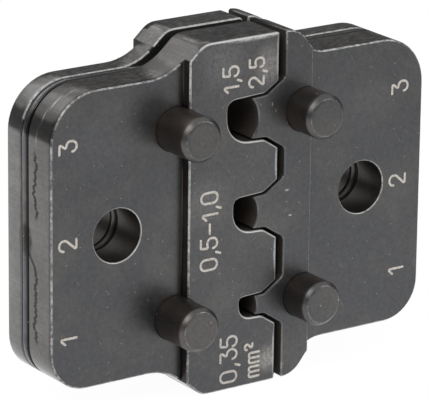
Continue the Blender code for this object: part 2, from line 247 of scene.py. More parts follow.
class Graph:
    """A node tree that is filled by expressions."""

    def __init__(self, tree: bpy.types.NodeTree) -> None:
        """Start an empty tree.

        Args:
            tree: The tree of a material or a world.
        """
        self.tree = tree
        self.tree.nodes.clear()

    def node(
        self,
        kind: str,
        settings: Optional[dict] = None,
        inputs: Optional[dict] = None,
        output: Union[int, str] = 0,
    ) -> Signal:
        """Add a node.

        Args:
            kind: The node's type.
            settings: Properties of the node, set before its sockets.
            inputs: Values or signals by socket name or number.
            output: The socket that the signal leaves by.

        Returns:
            The signal of that output.
        """
        made = self.tree.nodes.new(kind)
        for name, value in (settings or {}).items():
            setattr(made, name, value)
        for key, value in (inputs or {}).items():
            if isinstance(value, Signal):
                self.tree.links.new(value.socket, made.inputs[key])
            else:
                made.inputs[key].default_value = value
        return Signal(self, made.outputs[output])

    def end(self, surface: Signal, kind: str = "ShaderNodeOutputMaterial") -> None:
        """Join the last shader to a new output node."""
        output = self.tree.nodes.new(kind)
        self.tree.links.new(surface.socket, output.inputs["Surface"])

    def maths(self, operation: str, first: Value, second: Value = 0.0) -> Signal:
        """Combine two numbers."""
        return self.node("ShaderNodeMath", {"operation": operation}, {0: first, 1: second})

    def vectors(
        self, operation: str, first: Value, second: Value, output: Union[int, str] = 0
    ) -> Signal:
        """Combine two vectors."""
        inputs = {0: first, 1: second}
        return self.node("ShaderNodeVectorMath", {"operation": operation}, inputs, output)

    def place(self) -> Signal:
        """Give the point being shaded, in millimetres."""
        point = self.node("ShaderNodeTexCoord", output="Object")
        return self.scaled(point, (PER_MM, PER_MM, PER_MM))

    def scaled(self, vector: Value, factors: Sequence[float]) -> Signal:
        """Stretch a vector along each axis."""
        return self.vectors("MULTIPLY", vector, factors)

    def minus(self, vector: Value, point: Point) -> Signal:
        """Give the way from a point."""
        return self.vectors("SUBTRACT", vector, point)

    def distance(self, vector: Value, point: Point) -> Signal:
        """Give the distance from a point."""
        return self.vectors("DISTANCE", vector, point, "Value")

    def turned(self, vector: Value, angles: Sequence[float]) -> Signal:
        """Turn a vector by Euler angles."""
        return self.node("ShaderNodeMapping", {}, {"Vector": vector, "Rotation": angles})

    def axis(self, vector: Value, name: str) -> Signal:
        """Take one coordinate, X, Y or Z, of a vector."""
        return self.node("ShaderNodeSeparateXYZ", {}, {0: vector}, name)

    def noise(self, vector: Value, kind: Noise) -> Signal:
        """Give a noise.

        Args:
            vector: Where to read it.
            kind: Its scale and octaves.

        Returns:
            The noise.
        """
        inputs = {
            "Vector": vector,
            "Scale": kind.scale,
            "Detail": kind.detail,
            "Roughness": kind.roughness,
        }
        return self.node("ShaderNodeTexNoise", {}, inputs, "Fac")

    def dots(self, vector: Value, kind: Dots, flat: bool = False) -> Signal:
        """Give sparse round dots.

        Args:
            vector: Where to read them.
            kind: Their size and number.
            flat: Whether they lie on a sheet, whose plane is XY.

        Returns:
            The dots' strength on a dot and 0 off it.
        """
        cell = {"Vector": vector, "Scale": kind.scale, "Randomness": 1.0}
        sheet = {"voronoi_dimensions": "2D" if flat else "3D"}
        far = self.node("ShaderNodeTexVoronoi", sheet, cell, "Distance")
        colour = self.node("ShaderNodeTexVoronoi", sheet, cell, "Color")
        lot = self.node("ShaderNodeSeparateColor", {}, {0: colour}, "Red")
        dot = self.smooth(far, kind.radius, kind.radius * DOT_CORE)
        return dot * self.smooth(lot, 1 - kind.share, 1 - kind.share * DOT_LOT) * kind.strength

    def smooth(self, value: Value, low: float, high: float) -> Signal:
        """Step smoothly from 0 at low to 1 at high."""
        inputs = {"Value": value, "From Min": low, "From Max": high}
        return self.node("ShaderNodeMapRange", {"interpolation_type": "SMOOTHSTEP"}, inputs)

    def mix(self, factor: Value, first: Value, second: Value) -> Signal:
        """Blend two colours."""
        inputs = {0: factor, 6: solid(first), 7: solid(second)}
        return self.node("ShaderNodeMix", {"data_type": "RGBA"}, inputs, 2)

    def shade(self, colour: Value, factor: Value) -> Signal:
        """Multiply a colour by a number."""
        inputs = {0: colour, "Scale": factor}
        return self.node("ShaderNodeVectorMath", {"operation": "SCALE"}, inputs)

    def attribute(self, name: str) -> Signal:
        """Read a number that the mesh carries."""
        return self.node("ShaderNodeAttribute", {"attribute_name": name}, {}, "Fac")

    def bump(self, height: Value, distance: float) -> Signal:
        """Turn a height into a normal."""
        return self.node("ShaderNodeBump", {}, {"Height": height, "Distance": distance})


def solid(colour: Value) -> Value:
    """Give a plain colour its alpha."""
    return colour if isinstance(colour, Signal) else (*colour, 1.0)


def new_material(name: str) -> tuple[bpy.types.Material, Graph]:
    """Make an empty material.

    Args:
        name: The material's name.

    Returns:
        The material and the graph that fills it.
    """
    made = bpy.data.materials.new(name)
    made.use_nodes = True
    return made, Graph(made.node_tree)


@dataclass(frozen=True)
class StainOrPaintedLight:
    """A patch of another tone: a stain where the oxide is thin or dirt has gathered, or a patch of
    painted light or shade.

    A stretch above 1 makes it narrower along that axis, and one below 1 longer.
    """

    centre: Point
    radius: float
    strength: float
    tone: Colour = (0.40, 0.385, 0.365)
    stretch: Point = (1.0, 1.0, 1.0)

    def over(self, graph: Graph, place: Signal, uneven: Signal, colour: Signal) -> Signal:
        """Lay the patch over a colour.

        Args:
            graph: The material's graph.
            place: The point being shaded.
            uneven: How well the patch takes there.
            colour: The colour under it.

        Returns:
            The colour with the patch on it.
        """
        off = graph.scaled(graph.minus(place, self.centre), self.stretch)
        far = graph.distance(off, (0, 0, 0))
        near = graph.smooth(far, self.radius, self.radius * STAIN_OR_LIGHT_CORE)
        return graph.mix(near * uneven * self.strength, colour, self.tone)


@dataclass(frozen=True)
class Tear:
    """The wavy dark line where the shearing of an outer edge turned into tearing.

    It runs along spans of height, and bends to the seam at its root.
    """

    edge: float
    depth: float
    swing: float
    width: float
    spans: tuple[Span, ...]
    root: Span
    root_depth: float = 0.1
    root_end: Span = (2.0, 1.0)
    sway: Noise = Noise(0.4, 5.0, 0.7)
    core: float = 0.4
    fade: float = 0.8
    skin: float = 0.05

    def cover(self, graph: Graph, place: Signal) -> Signal:
        """Draw the tear.

        Args:
            graph: The material's graph.
            place: The point being shaded.

        Returns:
            1 on the tear and 0 off it.
        """
        height = graph.axis(place, "Z")
        along = graph.node("ShaderNodeCombineXYZ", {}, {2: height})
        sway = graph.noise(along, self.sway) - 0.5
        top = self.root[1]
        past = graph.smooth(height, *(top + more for more in self.root_end))
        rooted = graph.smooth(height, *self.root) * past
        pull = rooted * (self.depth - self.root_depth)
        path = self.depth + sway * self.swing * (1 - rooted) - pull
        off = abs(graph.axis(place, "Y") - path)
        line = graph.smooth(off, self.width, self.width * self.core)
        inside = 0.0
        for low, high in self.spans:
            rise = graph.smooth(height, low, low + self.fade)
            inside = rise * graph.smooth(height, high, high - self.fade) + inside
        outer = graph.smooth(graph.axis(place, "X"), self.edge + self.skin, self.edge)
        return line * inside * outer


@dataclass(frozen=True)
class OxideSteel:
    """Steel under a black oxide, by its tones, its grain, its wear and the light and shade painted
    into it.
    """

    name: str
    tone: Colour
    cloud: Colour
    bare: Colour = (0.58, 0.575, 0.565)
    metallic: float = 0.85
    roughness: float = 0.42
    specular: float = 0.5
    grain: Grain = Grain.NONE
    grain_depth: float = 0.15
    grain_scale: float = 9.0
    specks: Optional[Dots] = SPECKS
    scratched: bool = False
    wear: float = 1.0
    wear_span: Span = (0.62, 0.92)
    soot: float = 0.0
    # How strongly painted light and shade, in mottled patches, lie on what faces up or down.
    end_painted_light: float = 1.0
    centre: Point = (0.0, 0.0, 0.0)
    # Stains, and patches of painted light and shade.
    stains_and_light: tuple[StainOrPaintedLight, ...] = ()
    tear: Optional[Tear] = None
    # Where painted shade darkens the seam in front of the spacer, across the die.
    seam: Optional[float] = None
    # Where the painted shade on the ears' walls, behind the front face, ends across the die.
    lip: Optional[float] = None

    def material(self) -> bpy.types.Material:
        """Make the material.

        Returns:
            The material, whose object coordinates are the frame's.
        """
        made, graph = new_material(self.name)
        place = graph.place()
        fine = graph.noise(place, FINE)
        mottle = graph.noise(place, MOTTLE)
        ragged = graph.noise(place, RAGGED)
        lines = self._lines(graph, place)
        clouds = graph.smooth(graph.noise(place, CLOUDS), *CLOUD_SPAN)
        level = 1 + (mottle - 0.5) * MOTTLE_TONE + (fine - 0.5) * FINE_TONE
        level = level + (lines - 0.5) * self.grain_depth * 2
        # Painted light and shade on what faces up or down.
        if self.end_painted_light != 1:
            level = level * self._painted_end_light(graph, place)
        colour = graph.shade(graph.mix(clouds, self.tone, self.cloud), level)
        uneven = graph.smooth(ragged * STAIN_OR_LIGHT_RAGGED + fine * STAIN_OR_LIGHT_FINE, *STAIN_OR_LIGHT_SPAN)
        colour = self._soiled_and_shaded(graph, place, uneven, colour)
        bare = self._bareness(graph, place, ragged)
        roughness = self.roughness - bare * BARE_POLISH
        roughness = roughness + (mottle - 0.5) * MOTTLE_ROUGHNESS + (fine - 0.5) * FINE_ROUGHNESS
        height = fine * FINE_HEIGHT + lines + mottle * MOTTLE_HEIGHT
        metallic = self.metallic * (1 - bare * BARE_DULLNESS) if self.metallic else 0.0
        inputs = {
            "Base Color": graph.mix(bare, colour, self.bare),
            "Metallic": metallic,
            "Specular IOR Level": self.specular,
            "Roughness": roughness,
            "Normal": graph.bump(height, BUMP * MM),
        }
        graph.end(graph.node("ShaderNodeBsdfPrincipled", {}, inputs))
        return made

    def _painted_end_light(self, graph: Graph, place: Signal) -> Signal:
        """Paint light and shade, in mottled patches, on what faces up or down.

        Args:
            graph: The material's graph.
            place: The point being shaded.

        Returns:
            The factor for the tone.
        """
        slope = graph.axis(graph.node("ShaderNodeTexCoord", output="Normal"), "Z")
        flat = graph.smooth(abs(slope), *END_SLOPE)
        blotches = graph.noise(graph.scaled(place, PATCH_STRETCH), PATCHES)
        patches = graph.smooth(blotches, *PATCH_SPAN)
        return 1 + flat * (self.end_painted_light * (END_LOW + patches * END_SWING) - 1)

    def _lines(self, graph: Graph, place: Signal) -> Signal:
        """Give the grain, as noise about 0.5 drawn out along its lines.

        Args:
            graph: The material's graph.
            place: The point being shaded.

        Returns:
            The grain.
        """
        if self.grain is Grain.THROUGH:
            drawn = graph.scaled(place, (1, GRAIN_STRETCH / self.grain_scale, 1))
            return graph.noise(drawn, Noise(self.grain_scale))
        if self.grain is Grain.RINGS:
            flat = graph.scaled(place, (1, 0, 1))
            radius = graph.distance(flat, (self.centre[0], 0, self.centre[2]))
            ring = graph.node("ShaderNodeCombineXYZ", {}, {0: radius})
            return graph.noise(ring, Noise(self.grain_scale))
        return graph.noise(place, Noise(self.grain_scale, 1.0))

    def _soiled_and_shaded(self, graph: Graph, place: Signal, uneven: Signal, colour: Signal) -> Signal:
        """Lay soot, stained and painted patches, the tear, and painted shade in the seam and
        behind the ears' front face over a colour.

        Args:
            graph: The material's graph.
            place: The point being shaded.
            uneven: How well a patch takes there.
            colour: The colour under them.

        Returns:
            The colour with its dirt and its painted light and shade.
        """
        if self.soot:
            smudge = graph.smooth(graph.noise(place, SOOT), *SOOT_SPAN)
            colour = graph.mix(smudge * self.soot, colour, DARK)
        # Stains, and patches of painted light and shade.
        for stain_or_light in self.stains_and_light:
            colour = stain_or_light.over(graph, place, uneven, colour)
        if self.tear:
            colour = graph.mix(self.tear.cover(graph, place), colour, DARK)
        depth = graph.axis(place, "Y")
        # Painted shade in the seam in front of the spacer.
        if self.seam is not None:
            near = graph.smooth(abs(depth - self.seam), *SEAM_SHADE_SPAN)
            colour = graph.mix(near * SEAM_SHADE_SHARE, colour, DARK)
        # Painted shade on the ears' walls just behind the front face, standing in for the shading
        # of a rounded edge.
        if self.lip is not None:
            ear = graph.smooth(abs(graph.axis(place, "X")), *EAR_SPAN)
            near = graph.smooth(depth, self.lip + LIP_SHADE_WIDTH, self.lip)
            colour = graph.mix(near * ear * LIP_SHADE_SHARE, colour, DARK)
        return colour

    def _bareness(self, graph: Graph, place: Signal, ragged: Signal) -> Signal:
        """Give how far the oxide is gone, along rims and in specks or scratches.

        Args:
            graph: The material's graph.
            place: The point being shaded.
            ragged: A noise that frays the rims' wear.

        Returns:
            0 under whole oxide and 1 where the steel is bare.
        """
        edge = graph.attribute("rim") + (ragged - 0.5) * RIM_RAGGEDNESS
        bare = graph.smooth(edge, *self.wear_span) * self.wear
        if self.scratched:
            sheet = graph.turned(place, (math.pi / 2, 0, 0))
            marks = 0.0
            for flecks in FLECKS:
                marks = graph.dots(sheet, flecks, True) + marks
            for turn, scratches in SCRATCHES:
                along = graph.scaled(graph.turned(sheet, (0, 0, turn)), SCRATCH_STRETCH)
                marks = graph.dots(along, scratches, True) + marks
            return graph.maths("MAXIMUM", bare, marks)
        if self.specks:
            return graph.maths("MAXIMUM", bare, graph.dots(place, self.specks))
        return bare


@dataclass(frozen=True)
class LaserMark:
    """The light, matt trace of a marking laser."""

    name: str = "laser_mark"
    light: Colour = (0.76, 0.71, 0.65)
    dull: Colour = (0.50, 0.47, 0.43)
    roughness: float = 0.6
    metallic: float = 0.2

    def material(self) -> bpy.types.Material:
        """Make the material.

        Returns:
            The material, with the pulses' uneven tone.
        """
        made, graph = new_material(self.name)
        pulses = graph.smooth(graph.noise(graph.place(), PULSES), *PULSE_SPAN)
        inputs = {
            "Base Color": graph.mix(pulses, self.dull, self.light),
            "Metallic": self.metallic,
            "Roughness": self.roughness,
        }
        graph.end(graph.node("ShaderNodeBsdfPrincipled", {}, inputs))
        return made


def box_of(node: str) -> tuple[Vector, Vector]:
    """Give the lowest and highest corner of a node, in millimetres."""
    low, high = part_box(node)
    return low * PER_MM, high * PER_MM


def merged_copy(node: str) -> bmesh.types.BMesh:
    """Copy a node's mesh with its triangles joined into whole flats, in millimetres.

    Args:
        node: The node's name.

    Returns:
        The copy.
    """
    shape = bmesh.new()
    shape.from_mesh(bpy.data.objects[node].data)
    bmesh.ops.scale(shape, vec=(PER_MM, PER_MM, PER_MM), verts=shape.verts)
    bmesh.ops.remove_doubles(shape, verts=shape.verts, dist=DOUBLES)
    bmesh.ops.dissolve_limit(shape, angle_limit=FLATNESS, verts=shape.verts, edges=shape.edges)
    shape.normal_update()
    return shape


def part_walls(shape: bmesh.types.BMesh) -> None:
    """Part the walls where the raised middle begins, so that their shading runs on evenly.

    Args:
        shape: The shape, in millimetres.
    """
    cuts = [((x, 0.0, 0.0), (1.0, 0.0, 0.0)) for x in STEPS]
    cuts += [((0.0, y, 0.0), (0.0, 1.0, 0.0)) for y in (EAR_FACE, -EAR_FACE)]
    for point, normal in cuts:
        walls = [face for face in shape.faces if abs(face.normal.y) < WALL_TILT]
        edges = list({edge for face in walls for edge in face.edges})
        verts = list({vert for face in walls for vert in face.verts})
        bmesh.ops.bisect_plane(
            shape, geom=verts + edges + walls, dist=WELD, plane_co=point, plane_no=normal
        )
    shape.normal_update()


def lines_hole(point: Vector, low: Vector, high: Vector) -> bool:
    """Tell whether a point lines the screw hole of a piece.

    Args:
        point: The point, in millimetres.
        low: The lowest corner of the piece's box.
        high: The highest corner of the piece's box.

    Returns:
        Whether it does.
    """
    across = low.x + HOLE_INSET if low.x < NEST_SIDE else high.x - HOLE_INSET
    centre = Vector((across, (low.z + high.z) / 2))
    return (Vector((point.x, point.z)) - centre).length < HOLE_REACH


def finish_piece(
    name: str,
    shape: bmesh.types.BMesh,
    materials: Sequence[bpy.types.Material],
    body: str,
    node: Optional[str] = None,
    sharp: float = 50.0,
) -> bpy.types.Object:
    """Turn a shape in millimetres into a piece that rides on its body.

    Args:
        name: The piece's name.
        shape: The shape, which is used up.
        materials: The materials of its slots.
        body: The body it rides on.
        node: The node it stands for.
        sharp: Degrees past which an edge is shaded sharp.

    Returns:
        The piece's object, at the origin.
    """
    bmesh.ops.scale(shape, vec=(MM, MM, MM), verts=shape.verts)
    mesh = bpy.data.meshes.new(name)
    shape.to_mesh(mesh)
    shape.free()
    mesh.shade_smooth()
    mesh.set_sharp_from_angle(angle=math.radians(sharp))
    for material in materials:
        mesh.materials.append(material)
    piece = bpy.data.objects.new(name, mesh)
    bpy.context.scene.collection.objects.link(piece)
    weighted = piece.modifiers.new("flat_normals", "WEIGHTED_NORMAL")
    weighted.keep_sharp = True
    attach(piece, body)
    if node:
        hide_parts(node)
    LOG.info("%s: %d faces", name, len(mesh.polygons))
    return piece


@dataclass(frozen=True)
class Worn:
    """A box in which the rims are worn more or less than elsewhere."""

    low: Point
    high: Point
    wear: float

    def holds(self, point: Vector) -> bool:
        """Tell whether a point is inside the box."""
        return all(self.low[i] <= point[i] <= self.high[i] for i in range(3))


@dataclass
class Plate:
    """A plate of the die, whose broken edges carry their wear."""

    node: str
    body: str
    slot: str
    finishes: dict[Skin, bpy.types.Material]
    worn: tuple[Worn, ...] = ()
    low: Vector = field(init=False)
    high: Vector = field(init=False)

    def __post_init__(self) -> None:
        """Take the plate's box from its node."""
        self.low, self.high = box_of(self.node)

    def build(self) -> bpy.types.Object:
        """Build the plate.

        Returns:
            The plate's object.
        """
        shape = merged_copy(self.node)
        part_walls(shape)
        rim = shape.loops.layers.float.new("rim")
        for face in shape.faces:
            skin = self._skin(face)
            face.material_index = skin.value
            if skin is Skin.RIM:
                for corner in face.loops:
                    corner[rim] = self._wear(corner.vert.co)
        materials = [self.finishes[skin] for skin in Skin]
        name = self.node + "_steel"
        return finish_piece(name, shape, materials, self.body, self.node)

    def _skin(self, face: bmesh.types.BMFace) -> Skin:
        """Tell a face's kind by the way it looks and where it is.

        Args:
            face: The face.

        Returns:
            Its kind.
        """
        tilt = abs(face.normal.y)
        if tilt > FACE_TILT:
            return Skin.FACE
        middle = face.calc_center_median()
        if tilt > WALL_TILT:
            return self._edge_skin(middle)
        if lines_hole(middle, self.low, self.high):
            return Skin.BORE
        if self._in_mouth(middle):
            return Skin.MATING_SHADED
        raised = abs(face.normal.x) > FACE_TILT and self._near_step(middle, STEP_REACH)
        return Skin.STEP if raised else Skin.WALL

    def _edge_skin(self, middle: Vector) -> Skin:
        """Tell a rim from a step's foot, a hole's inner edge and the seam's edge.

        Args:
            middle: The middle of the edge's face.

        Returns:
            The edge's kind.
        """
        inside = -EAR_FACE - abs(middle.y)
        if self._near_step(middle, STEP_FOOT_REACH) and inside > -STEP_FOOT_DEPTH:
            return Skin.STEP
        if inside > HOLE_RIM_DEPTH and lines_hole(middle, self.low, self.high):
            return Skin.BORE
        return Skin.MATING_SHADED if abs(middle.y - INNER_BREAK) < BREAK_REACH else Skin.RIM

    def _near_step(self, point: Vector, reach: float) -> bool:
        """Tell whether a point is near the end of the raised middle."""
        return any(abs(point.x - x) < reach for x in STEPS)

    def _in_mouth(self, point: Vector) -> bool:
        """Tell whether a point is on the mating edge."""
        low, high = self.low.z + MOUTH_MARGIN, self.high.z - MOUTH_MARGIN
        return MOUTH[0] < point.x < MOUTH[1] and low < point.z < high

    def _wear(self, point: Vector) -> float:
        """Give the wear of a rim at a point."""
        return next((box.wear for box in self.worn if box.holds(point)), PLAIN_WEAR)


@dataclass
class Spacer:
    """A spacer between two plates."""

    node: str
    body: str
    slot: str
    finish: bpy.types.Material
    bore: bpy.types.Material

    def build(self) -> bpy.types.Object:
        """Build the spacer.

        Returns:
            The spacer's object.
        """
        low, high = box_of(self.node)
        shape = merged_copy(self.node)
        rim = shape.loops.layers.float.new("rim")
        for face in shape.faces:
            middle = face.calc_center_median()
            tilt = abs(face.normal.y)
            face.material_index = int(tilt < FACE_TILT and lines_hole(middle, low, high))
            if WALL_TILT < tilt < FACE_TILT:
                for corner in face.loops:
                    corner[rim] = SPACER_WEAR
        finishes = [self.finish, self.bore]
        name = self.node + "_steel"
        return finish_piece(name, shape, finishes, self.body, self.node)


@dataclass
class DowelPin:
    """A turned dowel pin with a chamfered tip at each end."""

    node: str
    body: str
    slot: str
    side: bpy.types.Material
    tip: bpy.types.Material
    chamfer: float = 0.35
    lip: float = 0.06
    turned: float = 0.25
    worn: float = 0.4
    steps: int = 96
    sharp: float = 60.0

    def build(self) -> bpy.types.Object:
        """Build the pin.

        Returns:
            The pin's object.
        """
        low, high = box_of(self.node)
        centre = (low + high) / 2
        reach = high.y - centre.y
        shape = bmesh.new()
        rim = shape.verts.layers.float.new("rim")
        half = []
        for across, along, wear in self._profile((high.x - low.x) / 2, reach):
            vert = shape.verts.new((centre.x + across, centre.y + along, centre.z))
            vert[rim] = wear
            half.append(vert)
        edges = [shape.edges.new(pair) for pair in zip(half, half[1:])]
        bmesh.ops.spin(
            shape,
            geom=half + edges,
            cent=centre,
            axis=(0, 1, 0),
            angle=math.tau,
            steps=self.steps,
            use_merge=True,
        )
        bmesh.ops.remove_doubles(shape, verts=shape.verts, dist=WELD)
        bmesh.ops.recalc_face_normals(shape, faces=shape.faces)
        shoulder = reach - self.chamfer - self.lip
        for face in shape.faces:
            face.material_index = int(abs(face.calc_center_median().y - centre.y) > shoulder)
        finishes = [self.side, self.tip]
        name = self.node + "_steel"
        return finish_piece(name, shape, finishes, self.body, self.node, self.sharp)

    def _profile(self, radius: float, tip: float) -> list[Point]:
        """Give the pin's half section from the front tip to the rear.

        Args:
            radius: The pin's radius.
            tip: From the pin's middle to its tip.

        Returns:
            Radius, depth and wear at each corner.
        """
        flat = radius - self.chamfer
        shoulder = tip - self.chamfer
        end = [
            (0.0, tip, 0.0),
            (flat - self.turned, tip, 0.0),
            (flat - self.lip, tip, 0.5),
            (flat, tip - self.lip * 0.4, 0.8),
            (flat + self.lip, tip - self.lip * 1.4, 0.3),
            (radius - self.lip, shoulder + self.lip * 0.6, 0.4),
            (radius, shoulder - self.lip, 0.5),
            (radius, shoulder - self.worn, 0.0),
        ]
        front = [(across, -along, wear) for across, along, wear in end]
        return front + list(reversed(end))


class Pen:
    """Draws strokes of even width with round ends, by sweeping a nib over a flat sheet."""

    SINK = 0.0015
    BEND = math.radians(12)
    CAP_STEPS = 8
    SHORTEST = 1e-6

    def __init__(self, shape: bmesh.types.BMesh, width: float) -> None:
        """Take up a nib.

        Args:
            shape: The sheet, whose plane is XY.
            width: The stroke's width.
        """
        self.shape = shape
        self.width = width
        self.level = 0.0
        self.middle = Vector((0.0, 0.0, 0.0))
        self.nib: list[Union[bmesh.types.BMVert, bmesh.types.BMEdge]] = []

    def stroke(self, corners: Sequence[Point], looped: bool = False) -> None:
        """Draw a stroke through corners of (x, y, radius).

        Args:
            corners: The corners, of which the first and last of an open stroke have no radius.
            looped: Whether the stroke comes back to its start, half way along its first side.
        """
        path = [Vector(corner[:2]) for corner in corners]
        radii = [max(corner[2], self.width / 2) for corner in corners]
        if looped:
            start = (path[0] + path[1]) / 2
            path = [start] + path[1:] + [path[0], start]
            radii = [0.0] + radii[1:] + [radii[0], 0.0]
        heading = (path[1] - path[0]).normalized()
        self._dip(path[0], heading)
        if not looped:
            self._round(math.pi)
        used = 0.0
        for index in range(1, len(path)):
            run = (path[index] - path[index - 1]).length - used
            used = 0.0
            turn = 0.0
            if index < len(path) - 1:
                after = (path[index + 1] - path[index]).normalized()
                turn = math.atan2(heading.cross(after), heading.dot(after))
                used = radii[index] * abs(math.tan(turn / 2))
                run -= used
            if run > self.SHORTEST:
                self._line(heading * run)
            if turn:
                self._arc(heading, radii[index], turn)
                heading = after
        if not looped:
            self._round(-math.pi)

    def _held(self, kind: type) -> list:
        """Give the nib's vertices or its edges."""
        return [part for part in self.nib if isinstance(part, kind)]

    def _dip(self, start: Vector, heading: Vector) -> None:
        """Set the nib down across the heading, just below the strokes drawn before.

        Args:
            start: Where the stroke starts.
            heading: The way it sets out.
        """
        self.level -= self.SINK
        self.middle = Vector((start.x, start.y, self.level))
        side = Vector((-heading.y, heading.x, 0)) * self.width / 2
        verts = [self.shape.verts.new(self.middle + side * share) for share in (1, 0, -1)]
        edges = [self.shape.edges.new(pair) for pair in zip(verts, verts[1:])]
        self.nib = verts + edges

    def _line(self, step: Vector) -> None:
        """Sweep the nib straight on.

        Args:
            step: The way to go.
        """
        edges = self._held(bmesh.types.BMEdge)
        grown = bmesh.ops.extrude_edge_only(self.shape, edges=edges)["geom"]
        verts = [part for part in grown if isinstance(part, bmesh.types.BMVert)]
        bmesh.ops.translate(self.shape, verts=verts, vec=step.to_3d())
        fresh = set(verts)
        ahead = [part for part in grown if isinstance(part, bmesh.types.BMEdge)]
        self.nib = verts + [edge for edge in ahead if fresh.issuperset(edge.verts)]
        self.middle += step.to_3d()

    def _arc(self, heading: Vector, radius: float, turn: float) -> None:
        """Sweep the nib round a bend.

        Args:
            heading: The way in.
            radius: The bend's radius.
            turn: Its angle, to the left.
        """
        side = Vector((-heading.y, heading.x, 0)) * math.copysign(radius, turn)
        centre = self.middle + side
        steps = max(2, math.ceil(abs(turn) / self.BEND))
        swept = bmesh.ops.spin(
            self.shape, geom=self.nib, cent=centre, axis=(0, 0, 1), angle=turn, steps=steps
        )
        self.nib = swept["geom_last"]
        self.middle = centre + Matrix.Rotation(turn, 3, "Z") @ -side

    def _round(self, turn: float) -> None:
        """Round off the stroke where the nib is.

        Args:
            turn: The angle from one side of the stroke to the other.
        """
        verts = self._held(bmesh.types.BMVert)
        heart = min(verts, key=lambda vert: (vert.co - self.middle).length)
        edge = self._held(bmesh.types.BMEdge)[0]
        bmesh.ops.spin(
            self.shape,
            geom=[heart, edge.other_vert(heart), edge],
            cent=self.middle,
            axis=(0, 0, 1),
            angle=turn,
            steps=self.CAP_STEPS,
        )


# The plain engraver's characters: the width of each, and its strokes, looped or not, as corners
# of (x, y, radius). All are in character heights.
OPEN, LOOPED = False, True
CHARACTERS: dict[str, tuple[float, list[Stroke]]] = {
    "0": (0.56, [(LOOPED, [(0, 0, 0.28), (0, 1, 0.28), (0.56, 1, 0.28), (0.56, 0, 0.28)])]),
    "1": (0.30, [(OPEN, [(0, 0.68, 0), (0.28, 1, 0), (0.28, 0, 0)])]),
    "2": (0.54, [(OPEN, [
        (0, 0.76, 0), (0, 1, 0.26), (0.54, 1, 0.26), (0.54, 0.6, 0.2), (0, 0, 0), (0.54, 0, 0),
    ])]),
    "3": (0.54, [(OPEN, [
        (0, 1, 0), (0.52, 1, 0), (0.24, 0.6, 0), (0.54, 0.6, 0.26),
        (0.54, 0, 0.29), (0, 0, 0.25), (0, 0.14, 0),
    ])]),
    "5": (0.54, [(OPEN, [
        (0.5, 1, 0), (0.06, 1, 0), (0.02, 0.56, 0), (0.54, 0.66, 0.26),
        (0.54, 0, 0.28), (0, 0, 0.25), (0, 0.12, 0),
    ])]),
    ",": (0.10, [(OPEN, [(0.10, 0.06, 0), (0.0, -0.2, 0)])]),
    "-": (0.50, [(OPEN, [(0, 0.46, 0), (0.5, 0.46, 0)])]),
    "m": (0.62, [
        (OPEN, [(0, 0, 0), (0, 0.7, 0.12), (0.31, 0.7, 0.12), (0.31, 0, 0)]),
        (OPEN, [(0.31, 0.35, 0), (0.31, 0.7, 0.12), (0.62, 0.7, 0.12), (0.62, 0, 0)]),
    ]),
    "^": (0.34, [(OPEN, [
        (0, 0.86, 0), (0, 1.0, 0.14), (0.32, 1.0, 0.14), (0.32, 0.78, 0.12),
        (0, 0.48, 0), (0.34, 0.48, 0),
    ])]),
}


@dataclass(frozen=True)
class Legend:
    """A line of characters, by its place on a front face, where it reads upwards."""

    label: str
    text: str
    baseline: float
    start: float
    face: float
    height: float = 2.0


@dataclass
class Mark:
    """A legend drawn in laser strokes."""

    name: str
    body: str
    legend: Legend
    finish: bpy.types.Material
    width: float = 0.225
    spacing: float = 0.24
    relief: float = 0.012
    bedded: float = 0.25

    def build(self) -> bpy.types.Object:
        """Build the mark.

        Returns:
            The mark's object.
        """
        shape = bmesh.new()
        tall = self.legend.height - self.width
        pen = Pen(shape, self.width)
        along = self.width / 2
        for character in self.legend.text:
            advance, strokes = CHARACTERS[character]
            for looped, corners in strokes:
                pen.stroke([(along + x * tall, y * tall, r * tall) for x, y, r in corners], looped)
            along += (advance + self.spacing) * tall
        bmesh.ops.remove_doubles(shape, verts=shape.verts, dist=WELD)
        shape.normal_update()
        down = [face for face in shape.faces if face.normal.z < 0]
        bmesh.ops.reverse_faces(shape, faces=down)
        bmesh.ops.solidify(shape, geom=shape.faces[:], thickness=self.relief)
        low = min(vert.co.z for vert in shape.verts)
        bed = (0, 0, -low - self.relief * self.bedded)
        bmesh.ops.translate(shape, verts=shape.verts, vec=bed)
        upright = Matrix(((0, -1, 0), (0, 0, -1), (1, 0, 0))).to_4x4()
        left = self.legend.baseline - self.width / 2
        corner = Matrix.Translation((left, self.legend.face, self.legend.start))
        bmesh.ops.transform(shape, matrix=corner @ upright, verts=shape.verts)
        return finish_piece(self.name, shape, [self.finish], self.body)


@dataclass(frozen=True)
class Lamp:
    """A soft square lamp, by its place and side in millimetres and its power in watts."""

    name: str
    place: Point
    size: float
    power: float

    def hang(self, aim: Point) -> None:
        """Hang the lamp so that it looks at a point.

        Args:
            aim: The point, in millimetres.
        """
        light = bpy.data.lights.new(self.name, "AREA")
        light.size = self.size * MM
        light.energy = self.power
        lamp = bpy.data.objects.new(self.name, light)
        lamp.location = Vector(self.place) * MM
        sight = Vector(aim) - Vector(self.place)
        lamp.rotation_euler = sight.to_track_quat("-Z", "Y").to_euler()
        bpy.context.scene.collection.objects.link(lamp)


